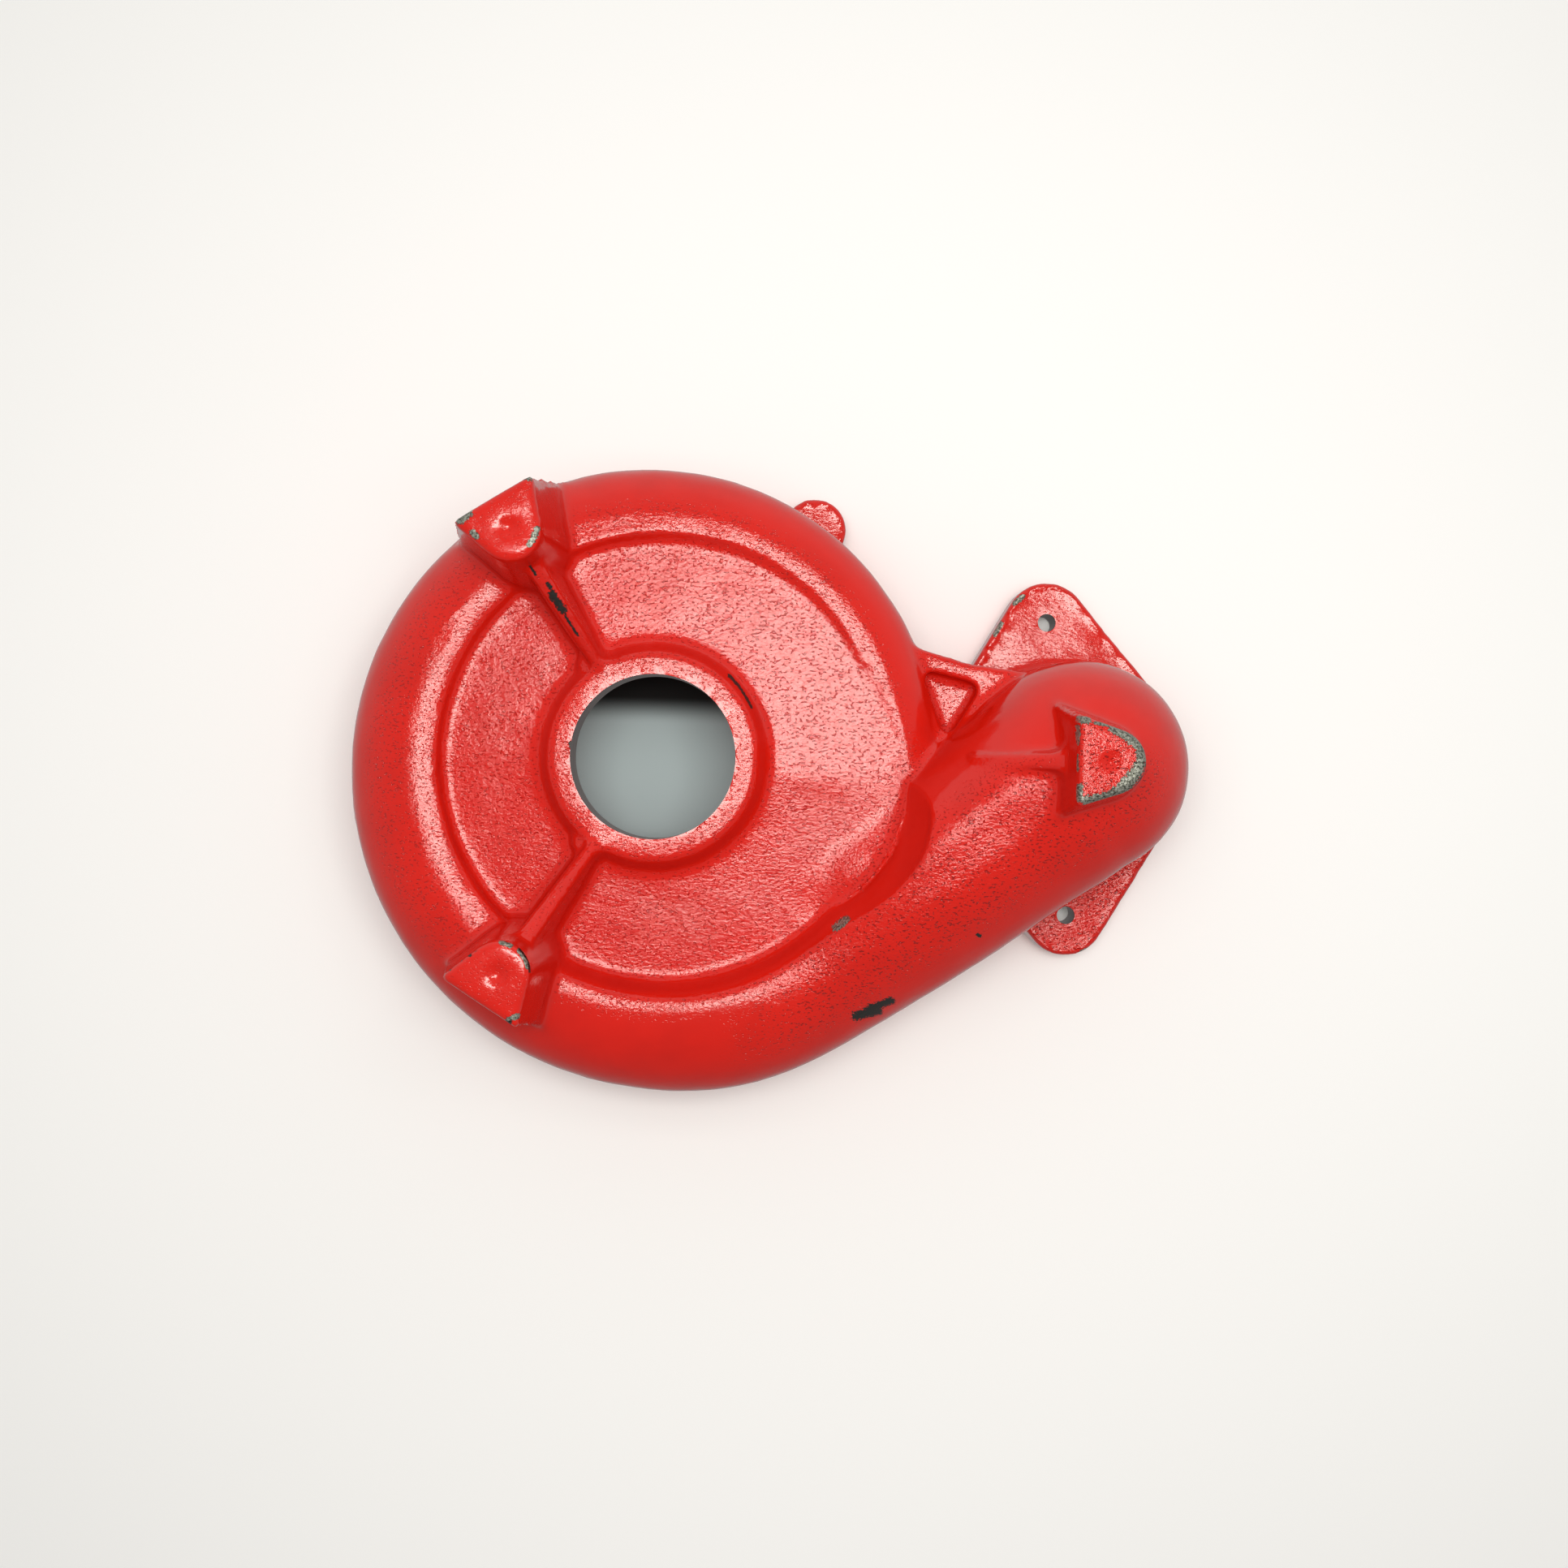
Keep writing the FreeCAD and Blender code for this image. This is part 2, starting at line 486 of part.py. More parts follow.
def add_foot(body, name, base, turn, draft):
    """Drafted foot: a flat side, two straight sides and a round end; turn is where that end points."""
    sketch = new_sketch(body, f"{name}_outline", "XY_Plane", (*base, "{foot_top}"), turn, Vector(0, 0, 1))
    half, deep, radius = (number(sketch, text) for text in ("{foot_wide} / 2", "{foot_deep}", "{foot_end_r}"))
    centre = Vector(deep - radius, 0, 0)
    corner = Vector(0, half, 0)
    spread = (centre - corner).Length
    along = (spread ** 2 - radius ** 2) ** 0.5
    reach = (centre - corner) * (along / spread ** 2)
    side = Vector(-reach.y, reach.x, 0) * (radius / along)
    touch = corner + (reach + side) * along
    low_touch = Vector(touch.x, -touch.y, 0)
    end = Part.Arc(low_touch, Vector(deep, 0, 0), touch)
    sketch.addGeometry(end, False)
    corners = [touch, corner, Vector(0, -half, 0), low_touch]
    for start, finish in zip(corners, corners[1:]):
        sketch.addGeometry(Part.LineSegment(start, finish), False)
    sketch.addConstraint(Sketcher.Constraint("Tangent", 0, 2, 1, 1))
    sketch.addConstraint(Sketcher.Constraint("Coincident", 1, 2, 2, 1))
    sketch.addConstraint(Sketcher.Constraint("Coincident", 2, 2, 3, 1))
    sketch.addConstraint(Sketcher.Constraint("Tangent", 3, 2, 0, 1))
    pin(sketch, 1, 2, "0", "{foot_wide} / 2")
    pin(sketch, 2, 2, "0", "-{foot_wide} / 2")
    pin(sketch, 0, 3, "{foot_deep} - {foot_end_r}", "0")
    bind(sketch, Sketcher.Constraint("Radius", 0, radius), "{foot_end_r}")
    extrude(body, "Pad", name, sketch, "{foot_top} - {foot_root}", True, draft)
    dimple = new_sketch(body, f"{name}_dimple_outline", "XY_Plane", (*base, "{foot_top}"), turn, Vector(0, 0, 1))
    add_circle(dimple, "{foot_deep} / 2", "0", "{dimple_r}")
    extrude(body, "Pocket", f"{name}_dimple", dimple, "{dimple_depth}")


def add_rib(body, name, azimuth, ends, aside="0"):
    """Rib with a sloping crest; each end is its distance out, crest height and crest width."""
    sections = []
    for index, (out, crest, width) in enumerate(ends):
        base = (f"{out} * sin({azimuth}) + {aside}", "0", f"{out} * cos({azimuth})")
        sketch = new_sketch(body, f"{name}_end_{index}", "YZ_Plane", base, azimuth)
        root = "{foot_root}"
        add_polygon(sketch, [
            (f"-{width} / 2 - {{rib_spread}}", root),
            (f"{width} / 2 + {{rib_spread}}", root),
            (f"{width} / 2", crest),
            (f"-{width} / 2", crest),
        ])
        sections.append(sketch)
    loft(body, name, sections, ruled=True)


def add_feet(body):
    for name, side in (("upper_foot", ""), ("lower_foot", "-")):
        azimuth = f"({side}{{foot_azimuth}})"
        base = (f"{{foot_reach}} * cos({azimuth})", f"{{foot_reach}} * sin({azimuth})")
        add_foot(body, name, base, f"{azimuth} + 180", "{foot_draft}")
        ends = [
            ("({boss_face_r} - {overlap})", "{rib_low}", "{rib_thin}"),
            ("({foot_reach} - {foot_deep} + 2 * {overlap})", "{rib_high}", "{rib_thick}"),
        ]
        add_rib(body, f"{name}_rib", azimuth, ends)
    add_foot(body, "elbow_foot", ("{elbow_foot_x}", "{elbow_foot_y}"), "360", "{elbow_foot_draft}")
    ends = [
        ("{elbow_rib_x}", "{elbow_rib_low}", "{rib_thin}"),
        ("({elbow_foot_x} + 2 * {overlap})", "{elbow_rib_high}", "{rib_thick}"),
    ]
    add_rib(body, "elbow_foot_rib", "360", ends, "{elbow_foot_y}")


def cut_waterway(body, waterway):
    cut = body.newObject("PartDesign::Boolean", "hollow")
    cut.Type = "Cut"
    cut.setObjects([waterway])
    body.Tip = cut
    doc.recompute()


def add_holes(body):
    """Tapped holes: blind in the lugs, through in the flange's ears."""
    sketch = new_sketch(body, "lug_hole_outline", "XY_Plane", turn="{lug_azimuth}", axis=Vector(0, 0, 1))
    add_circle(sketch, "{lug_reach}", "0", "{thread_core_r}")
    hole = extrude(body, "Pocket", "lug_hole", sketch, "{lug_hole_depth}", reverse=True)
    repeat(body, "lug_holes", hole)
    sketch = new_sketch(
        body, "flange_hole_outline", "XY_Plane", ("{elbow_x}", "0", "0"), "{flange_turn}", Vector(0, 0, 1)
    )
    add_circle(sketch, "{flange_pitch} / 2", "0", "{thread_core_r}")
    add_circle(sketch, "-{flange_pitch} / 2", "0", "{thread_core_r}")
    extrude(body, "Pocket", "flange_holes", sketch, "{flange_depth}", reverse=True)


def make_casing():
    body = doc.addObject("PartDesign::Body", NODE)
    body.Label = NODE
    add_tube(body, "spiral", "0")
    add_web(body)
    add_barrel(body)
    add_recess(body)
    add_boss(body)
    add_elbow(body)
    add_flange(body)
    add_lugs(body)
    add_feet(body)
    cut_waterway(body, make_waterway())
    add_holes(body)
    return body


casing = make_casing()
doc.recompute()
faults = [item.Name for item in doc.Objects if {"Invalid", "Error"} & set(item.State)]
if faults:
    raise RuntimeError(f"objects that failed: {faults}")
if casing.Shape.isNull() or not casing.Shape.isValid():
    raise RuntimeError("the casing has no valid shape")
os.makedirs("parts", exist_ok=True)
casing.Shape.exportStep(f"parts/{NODE}.step")
print(NODE, "solids", len(casing.Shape.Solids), "volume", round(casing.Shape.Volume), "mm3")
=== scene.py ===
"""Looks of the volute casing: cast skin, red enamel with chips, machined faces, floor and light."""
import math

import bmesh
import bpy
import numpy as np
import openvdb
from mathutils import Matrix, Vector, noise


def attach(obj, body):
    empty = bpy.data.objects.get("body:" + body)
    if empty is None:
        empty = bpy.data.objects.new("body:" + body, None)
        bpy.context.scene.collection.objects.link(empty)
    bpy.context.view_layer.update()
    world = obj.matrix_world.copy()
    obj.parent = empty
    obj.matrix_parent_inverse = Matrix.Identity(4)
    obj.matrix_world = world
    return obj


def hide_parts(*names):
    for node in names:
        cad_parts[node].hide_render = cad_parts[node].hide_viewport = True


NODE = "volute_casing"
MM = 0.001

# Sizes of the casting in millimetres, as in the frame
BORE_R = 21.0
BOSS_TOP = 58.0
CEILING = 45.0
REGISTER_R = 64.0
REGISTER_DEPTH = 5.0
RIM_DEPTH = 11.0
ELBOW_X = 110.0
FLANGE_PITCH = 82.4
FLANGE_TURN = 95.2
LUG_REACH = 77.0
LUG_AZIMUTH = 58.3
LUG_HOLE_DEPTH = 9.0
THREAD_R = 2.5
FOOT_TOP = 88.0
DIMPLE_PLACE = (110.4, 1.1)
DIMPLE_R = 2.5
DIMPLE_DEPTH = 1.2

# Spiral: centre of the recess, its floor's radius, azimuths where the growth begins and ends, heights of
# the crest there, and where the neck starts and how far its crest rises
RECESS_PLACE = (2.5, -0.6)
RECESS_R = 57.0
GROWTH_AZIMUTH = 26.5
THROAT_AZIMUTH = 313.5
START_CREST = 52.6
THROAT_CREST = 60.4
NECK_START = (47.4, -50.0)
NECK_CREST_RISE = 13.0

# Radius of the spiral's crest: at the start, its fall with the growth and its rise with the growth's square
START_CREST_R = 62.0
CREST_R_FALL = 6.3
CREST_R_RISE = 13.2

# Lands between the recess and the spiral's crest: azimuths and slope, how low they are filled,
# how far they stay under the crest and outside the recess
LANDS = [(26.0, 122.0, -0.09), (114.0, 244.0, 0.13)]
LAND_LOW = 53.0
LAND_DROP = 0.2
LAND_INSET = 0.6

# Crease in the cover, from the boss outwards: two points, how steeply the cover falls at it, and over
# what length the fall fades
CREASE = ((30.1, -3.9), (63.1, -5.7))
CREASE_SLOPE = 0.07
CREASE_FADE = 32.0

# Cover's outer face: its lowest height, the heights where it ends, and its radius
COVER_LOW = 50.0
COVER_END = (52.3, 57.0)
COVER_R = 66.0

# Flattened inner shoulder of the neck: height it gains, its breadth, shares of the neck's run where it
# comes and goes, how far upward its surface looks, and how far above the crest it may be
SHOULDER_RISE = 1.8
SHOULDER_BREADTH = 24.0
SHOULDER_COMES = (0.02, 0.25)
SHOULDER_GOES = (0.72, 0.9)
SHOULDER_UPWARD = (0.45, 0.75)
SHOULDER_OVER = 3.0

# The photograph's camera: height above the motor face, place over the part, image in pixels
CAMERA_HEIGHT = 488.0
CAMERA_PLACE = (32.1, -5.76)
PHOTO_SIZE = 1932
PHOTO_FOCAL = 2090.0
PHOTO_CENTRE = 960.2
PHOTO_TURN = 1.5
SENSOR = 36.0

# Cast skin: grid step, fillet of inner corners, rounding of outer edges, lumps, triangles before the
# chips are refined, degrees above which an edge stays sharp, longest edge in a chip
VOXEL = 0.7
FILLET = 1.7
EDGE_ROUND = 0.7
LUMP_HEIGHT = 0.12
LUMP_LENGTH = 11.0
SKIN_TRIANGLES = 130000
SHARP_ANGLE = 38.0
CHIP_EDGE = 0.55

# Nubs beside the ribs where they meet the boss: photo pixel, height, radius
NUBS = [((722, 818), 54.0, 2.4), ((714, 1038), 54.0, 2.3)]

# Bare metal: strokes in photo pixels, each a half width, the lowest height it reaches and its points
METAL_STROKES = [
    (7.0, 84, [(1372, 897), (1387, 906), (1398, 914), (1405, 921), (1407, 935), (1402, 949)]),
    (9.0, 84, [(1402, 949), (1390, 964), (1375, 978)]),
    (7.5, 84, [(1375, 979), (1357, 984), (1340, 987)]),
    (5.0, 84, [(1340, 987), (1330, 984), (1330, 970)]),
    (5.5, 84, [(1331, 886), (1340, 888)]),
    (3.5, 84, [(1328, 896), (1327, 915)]),
    (3.0, 84, [(1326, 930), (1327, 948)]),
    (2.4, 84, [(1350, 891), (1364, 893)]),
    (7.0, 84, [(567, 640), (576, 632)]),
    (2.2, 84, [(560, 638), (587, 616), (616, 598), (647, 583)]),
    (4.6, 84, [(631, 592), (638, 590)]),
    (3.4, 84, [(612, 604), (618, 601)]),
    (5.0, 84, [(648, 587), (658, 588)]),
    (4.2, 84, [(582, 656), (587, 661)]),
    (4.2, 84, [(662, 652), (657, 664), (652, 671)]),
    (3.2, 84, [(617, 1161), (629, 1165)]),
    (2.8, 84, [(639, 1171), (646, 1180), (650, 1192)]),
    (3.8, 84, [(627, 1256), (638, 1252)]),
    (2.8, 84, [(558, 1219), (568, 1226)]),
    (3.4, 9, [(1250, 744), (1260, 735)]),
    (3.0, 9, [(1226, 782), (1234, 768)]),
    (2.6, 9, [(1333, 1172), (1352, 1166)]),
    (5.5, 45, [(1030, 1143), (1042, 1133)]),
    (1.8, 5, [(1204, 808), (1216, 786), (1232, 762)]),
]

# Dark bare iron: strokes in photo pixels, as above
DARK_STROKES = [
    (1.8, 84, [(1414, 938), (1411, 953), (1400, 969), (1382, 984), (1359, 991), (1340, 996)]),
    (1.8, 84, [(587, 616), (612, 598), (637, 585), (647, 582)]),
    (1.8, 84, [(640, 1168), (652, 1184), (653, 1197)]),
    (2.8, 84, [(623, 1261), (628, 1260)]),
    (2.2, 84, [(583, 1170), (585, 1171)]),
    (2.2, 84, [(577, 1176), (579, 1177)]),
    (2.2, 84, [(566, 1182), (568, 1183)]),
    (2.2, 84, [(552, 1193), (554, 1194)]),
    (3.0, 53, [(675, 720), (678, 724)]),
    (5.2, 53, [(680, 732), (687, 742), (694, 752)]),
    (1.8, 53, [(651, 694), (660, 708)]),
    (1.6, 53, [(697, 760), (712, 783)]),
    (6.0, 20, [(1055, 1252), (1066, 1248), (1074, 1242)]),
    (5.0, 20, [(1072, 1244), (1084, 1238), (1098, 1233)]),
    (5.0, 20, [(1068, 1249), (1082, 1246)]),
    (2.4, 20, [(1204, 1151), (1208, 1153)]),
    (2.2, 20, [(1328, 1066), (1331, 1074)]),
    (2.0, 50, [(898, 832), (911, 846)]),
    (1.6, 50, [(911, 846), (921, 862), (926, 872)]),
    (3.0, 50, [(703, 915), (706, 928)]),
    (2.0, 50, [(1017, 843), (1020, 852)]),
]

# Colours, linear
ENAMEL = (0.62, 0.010, 0.004)
ENAMEL_DEEP = (0.33, 0.006, 0.004)
BARE_LIGHT = (0.42, 0.43, 0.37)
BARE_DARK = (0.075, 0.08, 0.06)
DARK_IRON = (0.012, 0.011, 0.009)
MACHINED = (0.20, 0.17, 0.15)
RUST = (0.12, 0.05, 0.03)
# Dark rust in the bore; the same colour is painted shade on the tapped holes' walls
BORE_RUST_AND_HOLE_SHADE = (0.05, 0.018, 0.013)
FLOOR = (0.93, 0.935, 0.94)
# Painted shade and painted shadow on the floor under the casing
FLOOR_PAINTED_SHADE = (0.48, 0.58, 0.60)
FLOOR_PAINTED_SHADOW = (0.02, 0.02, 0.02)

# Painted shade on the floor under the bore: its radius, and where along Y it turns to painted shadow
FLOOR_PAINTED_SHADE_R = 55.0
FLOOR_PAINTED_SHADOW_FROM = 10.0
FLOOR_PAINTED_SHADOW_TO = 18.0

# Grain: where it comes or goes, in millimetres, and how far upward the surface looks there. The band is
# taken along negative X, and the neck along negative Y.
GRAIN_UPWARD = (0.66, 0.9)
COVER_GRAIN_R = (63.0, 68.0)
BAND_GRAIN_X = (20.0, 50.0)
NECK_GRAIN_X = (15.0, 45.0)
NECK_GRAIN_Y = (-8.0, 4.0)
NECK_GRAIN_R = 62.0
WEB_X = 60.0
WEB_HEIGHTS = (35.0, 46.0)
ELBOW_FOOT_HALF = 15.0

# Grain: how coarse it is, where the cover has 1
NECK_MORE_GRAIN = 0.7
FLANGE_GRAIN = 0.5
ELBOW_FOOT_GRAIN = 2.2
COVER_FOOT_GRAIN = 0.4

# Relief in the enamel, in millimetres
GRAIN_SWELL = 0.095
SMOOTH_SWELL = 0.012
FINE_SWELL = 0.016
ROLLING_SWELL = 0.12
PIT_DEPTH = 0.14
BARE_DEPTH = 0.16

# Chips show only where the surface looks this far upward, and their edges are this ragged
CHIP_UPWARD = 0.15
METAL_RAGGED = 2.2
DARK_RAGGED = 3.0
CHIP_SHARPNESS = (0.02, 0.16)

# Lights: place and size in millimetres, brightness as radiance
SOFTBOX = {"place": (61.0, 43.0, 700.0), "size": (322.0, 146.0), "radiance": 15.0}
FILL = {"place": (61.0, 50.0, 700.0), "size": (600.0, 400.0), "radiance": 2.5}
LIGHT_TINT = (1.0, 0.975, 0.91)

# Sky: strength overhead and at the sides, the upward shares between which it changes, its range over Y
SKY_TOP = 0.30
SKY_SIDE = 0.48
SKY_UPWARD = (0.2, 0.95)
SKY_LEAN = (0.45, 1.55)
SKY_TINT = (1.0, 0.985, 0.965)


def photo_to_part(column, row, height):
    """Place on the part, in millimetres, of a photo pixel at a known height."""
    scale = PHOTO_FOCAL / (CAMERA_HEIGHT - height)
    across = CAMERA_PLACE[0] + (column - PHOTO_CENTRE) / scale
    along = CAMERA_PLACE[1] - (row - PHOTO_CENTRE) / scale
    turned = Matrix.Rotation(math.radians(PHOTO_TURN), 2) @ Vector((across, along))
    return Vector((turned.x, turned.y, height))


def part_to_photo(points):
    """Photo pixels of points on the part, given in millimetres."""
    turn = math.radians(-PHOTO_TURN)
    across = points[:, 0] * math.cos(turn) - points[:, 1] * math.sin(turn)
    along = points[:, 0] * math.sin(turn) + points[:, 1] * math.cos(turn)
    scale = PHOTO_FOCAL / (CAMERA_HEIGHT - points[:, 2])
    column = PHOTO_CENTRE + (across - CAMERA_PLACE[0]) * scale
    row = PHOTO_CENTRE - (along - CAMERA_PLACE[1]) * scale
    return np.stack([column, row], axis=1)


def polar(radius, azimuth):
    angle = math.radians(azimuth)
    return (radius * math.cos(angle), radius * math.sin(angle))


def hole_places():
    """Axis of each tapped hole, and how far it goes up from the motor face."""
    places = [(polar(LUG_REACH, LUG_AZIMUTH + 90 * turn), LUG_HOLE_DEPTH) for turn in range(4)]
    for side in (1, -1):
        offset = polar(side * FLANGE_PITCH / 2, FLANGE_TURN)
        places.append(((ELBOW_X + offset[0], offset[1]), RIM_DEPTH))
    return places


# Distance field of the casting
class Field:
    """Signed distances on a regular grid, in millimetres, negative inside the metal."""

    def __init__(self, low, high, voxel):
        self.voxel = voxel
        self.origin = np.floor(np.array(low) / voxel).astype(int)
        self.shape = np.ceil(np.array(high) / voxel).astype(int) - self.origin + 1
        self.transform = openvdb.createLinearTransform(voxelSize=voxel)
        self.values = None

    def axes(self):
        steps = [(self.origin[axis] + np.arange(self.shape[axis])) * self.voxel for axis in range(3)]
        return np.meshgrid(*steps, indexing="ij", sparse=True)

    def layer(self, height):
        return int(round(height / self.voxel)) - int(self.origin[2])

    def fill(self, points, triangles, quads, width):
        """Takes the distances from a closed mesh, within width of its surface."""
        half = width / self.voxel + 2
        grid = openvdb.FloatGrid.createLevelSetFromPolygons(
            points, triangles=triangles, quads=quads, transform=self.transform, halfWidth=half
        )
        self.values = np.full(tuple(self.shape), grid.background, dtype=np.float32)
        grid.copyToArray(self.values, ijk=tuple(int(value) for value in self.origin))

    def surface(self, offset=0.0):
        """Mesh of the surface at an offset: points, triangles and quads."""
        grid = openvdb.FloatGrid(float(np.abs(self.values).max()))
        grid.copyFromArray(self.values, ijk=tuple(int(value) for value in self.origin))
        grid.transform = self.transform
        grid.gridClass = openvdb.GridClass.LEVEL_SET
        return grid.convertToPolygons(isovalue=offset, adaptivity=0.0)

    def regrow(self, offset, width):
        """Moves the surface out or in by an offset and takes its distances again."""
        points, triangles, quads = self.surface(offset)
        self.fill(points, triangles, quads, width)

    def add_cylinder(self, place, radius, low, high):
        across, along, height = self.axes()
        side = np.hypot(across - place[0], along - place[1]) - radius
        ends = np.maximum(low - height, height - high)
        self.values = np.minimum(self.values, np.maximum(side, ends).astype(np.float32))

    def add_ball(self, centre, radius):
        across, along, height = self.axes()
        squares = (across - centre[0]) ** 2 + (along - centre[1]) ** 2 + (height - centre[2]) ** 2
        self.values = np.minimum(self.values, (np.sqrt(squares) - radius).astype(np.float32))


def add_land(field, start, end, slope):
    """Fills the recess's edge between two azimuths up to a land that slopes from the crest."""
    across, along, height = field.axes()
    azimuth = np.degrees(np.arctan2(along, across)) % 360
    radius = np.hypot(across, along)
    grown = np.maximum(azimuth - GROWTH_AZIMUTH, 0) / (THROAT_AZIMUTH - GROWTH_AZIMUTH)
    crest = START_CREST + (THROAT_CREST - START_CREST) * grown
    crest_r = START_CREST_R - CREST_R_FALL * grown + CREST_R_RISE * grown ** 2
    land = crest - LAND_DROP - slope * (crest_r - radius)
    inner = RECESS_R + LAND_INSET - np.hypot(across - RECESS_PLACE[0], along - RECESS_PLACE[1])
    sector = np.radians(np.maximum(start - azimuth, azimuth - end)) * radius
    sides = np.maximum(np.maximum(inner, radius - crest_r), sector)
    filled = np.maximum(np.maximum(sides, height - land), LAND_LOW - height)
    field.values = np.minimum(field.values, filled.astype(np.float32))


def mesh_arrays(mesh):
    """Points in millimetres and triangles of a mesh."""
    mesh.calc_loop_triangles()
    points = np.empty(len(mesh.vertices) * 3, dtype=np.float32)
    mesh.vertices.foreach_get("co", points)
    triangles = np.empty(len(mesh.loop_triangles) * 3, dtype=np.int32)
    mesh.loop_triangles.foreach_get("vertices", triangles)
    return points.reshape(-1, 3) / MM, triangles.reshape(-1, 3).astype(np.uint32)


def cast_surface(node):
    """The casting with filleted corners and softened edges, its machined features still closed."""
    points, triangles = mesh_arrays(node.data)
    margin = FILLET + EDGE_ROUND + 4
    voxel = VOXEL
    field = Field(points.min(axis=0) - margin, points.max(axis=0) + margin, voxel)
    width = FILLET + EDGE_ROUND + 2 * voxel
    field.fill(points, triangles, np.empty((0, 4), dtype=np.uint32), width)
    below = field.layer((REGISTER_DEPTH + RIM_DEPTH) / 2)
    field.values[:, :, :below] = field.values[:, :, below:below + 1]
    field.add_cylinder((0, 0), BORE_R + 1, CEILING + 1, BOSS_TOP)
    for place, depth in hole_places():
        field.add_cylinder(place, THREAD_R + 1, -margin, depth)
    for pixel, height, radius in NUBS:
        field.add_ball(photo_to_part(*pixel, height), radius)
    for land in LANDS:
        add_land(field, *land)
    field.values[:, :, :2] = width
    field.regrow(FILLET, width)
    field.regrow(-FILLET - EDGE_ROUND, EDGE_ROUND + 3 * voxel)
    return field.surface(EDGE_ROUND)


def lumpy(points, normals):
    """Moves cast points out and in a little, in soft lumps."""
    moved = points.copy()
    for index, (point, normal) in enumerate(zip(points.tolist(), normals)):
        place = Vector(point) / LUMP_LENGTH
        swell = noise.noise(place) + 0.4 * noise.noise(place * 2.7)
        moved[index] += normal * swell * LUMP_HEIGHT
    return moved


def raise_shoulder(points, normals):
    """Lifts the neck's inner shoulder, so that its crown is flat and not round."""
    start = np.array(NECK_START)
    run = np.array([ELBOW_X, 0.0]) - start
    length = np.linalg.norm(run)
    offset = points[:, :2] - start
    share = offset @ run / length ** 2
    inward = (offset[:, 1] * run[0] - offset[:, 0] * run[1]) / length
    crest = THROAT_CREST + NECK_CREST_RISE * np.clip(share, 0, 1)
    swell = np.sin(np.pi * np.clip(inward / SHOULDER_BREADTH, 0, 1)) ** 2
    swell *= smooth_step(share, *SHOULDER_COMES) * (1 - smooth_step(share, *SHOULDER_GOES))
    swell *= smooth_step(normals[:, 2], *SHOULDER_UPWARD) * (points[:, 2] < crest + SHOULDER_OVER)
    points[:, 2] += SHOULDER_RISE * swell


def tilt_cover(points):
    """Lets the cover fall away a little below the crease."""
    start, end = np.array(CREASE)
    run = (end - start) / np.linalg.norm(end - start)
    offset = points[:, :2] - start
    below = np.maximum(offset[:, 0] * run[1] - offset[:, 1] * run[0], 0)
    weight = (points[:, 2] > COVER_LOW) * (1 - smooth_step(points[:, 2], *COVER_END))
    weight *= np.hypot(points[:, 0], points[:, 1]) < COVER_R
    points[:, 2] -= CREASE_SLOPE * CREASE_FADE * (1 - np.exp(-below / CREASE_FADE)) * weight


def new_mesh(name, points, faces):
    mesh = bpy.data.meshes.new(name)
    mesh.from_pydata((points * MM).tolist(), [], faces)
    mesh.update()
    return mesh


def link(name, mesh):
    piece = bpy.data.objects.new(name, mesh)
    bpy.context.scene.collection.objects.link(piece)
    return piece


def applied(piece):
    """Replaces the piece's mesh by what its modifiers make of it."""
    depsgraph = bpy.context.evaluated_depsgraph_get()
    made = bpy.data.meshes.new_from_object(piece.evaluated_get(depsgraph))
    piece.modifiers.clear()
    piece.data = made


def cutter(name, rounds, box_top=None):
    """Closed solids to cut away: rounds as place, low radius, high radius, low and high, or a box."""
    cutting = bmesh.new()
    for place, low_r, high_r, low, high in rounds:
        matrix = Matrix.Translation(Vector((place[0], place[1], (low + high) / 2)) * MM)
        sides = 192 if low_r > THREAD_R else 48
        bmesh.ops.create_cone(
            cutting, cap_ends=True, segments=sides, radius1=low_r * MM, radius2=high_r * MM,
            depth=(high - low) * MM, matrix=matrix,
        )
    if box_top is not None:
        reach = 400 * MM
        matrix = Matrix.Translation((0, 0, box_top * MM - reach / 2)) @ Matrix.Scale(reach, 4)
        bmesh.ops.create_cube(cutting, size=1.0, matrix=matrix)
    mesh = bpy.data.meshes.new(name)
    cutting.to_mesh(mesh)
    cutting.free()
    return link(name, mesh)


def cut(piece, tool):
    modifier = piece.modifiers.new(tool.name, "BOOLEAN")
    modifier.operation = "DIFFERENCE"
    modifier.solver = "MANIFOLD"
    modifier.object = tool
    applied(piece)
    bpy.data.objects.remove(tool)


def stroke_values(points, strokes):
    """For each point, 1 on a stroke's line in the photograph, 0 at its edge and less outside."""
    pixels = part_to_photo(points)
    best = np.full(len(points), -1.0)
    for half, low, line in strokes:
        for start, end in zip(line, line[1:]):
            start, end = np.array(start, float), np.array(end, float)
            step = end - start
            along = np.clip(((pixels - start) @ step) / (step @ step), 0, 1)
            gap = np.linalg.norm(pixels - start - along[:, None] * step, axis=1)
            best = np.maximum(best, np.where(points[:, 2] > low, 1 - gap / half, -1.0))
    return best


def vertex_arrays(mesh):
    points = np.empty(len(mesh.vertices) * 3)
    mesh.vertices.foreach_get("co", points)
    normals = np.empty(len(mesh.vertices) * 3)
    mesh.vertex_normals.foreach_get("vector", normals)
    return points.reshape(-1, 3) / MM, normals.reshape(-1, 3)


def refine_chips(mesh):
    """Divides the triangles round the chips, so that their edges can be fine."""
    shape = bmesh.new()
    shape.from_mesh(mesh)
    for _ in range(3):
        points = np.array([vertex.co for vertex in shape.verts]) / MM
        near = stroke_values(points, METAL_STROKES + DARK_STROKES) > -0.5
        shape.verts.ensure_lookup_table()
        edges = [
            edge for edge in shape.edges
            if edge.calc_length() > CHIP_EDGE * MM
            and (near[edge.verts[0].index] or near[edge.verts[1].index])
        ]
        bmesh.ops.subdivide_edges(shape, edges=edges, cuts=1, use_grid_fill=False)
        bmesh.ops.triangulate(shape, faces=[face for face in shape.faces if len(face.verts) > 3])
        shape.verts.index_update()
    shape.to_mesh(mesh)
    shape.free()


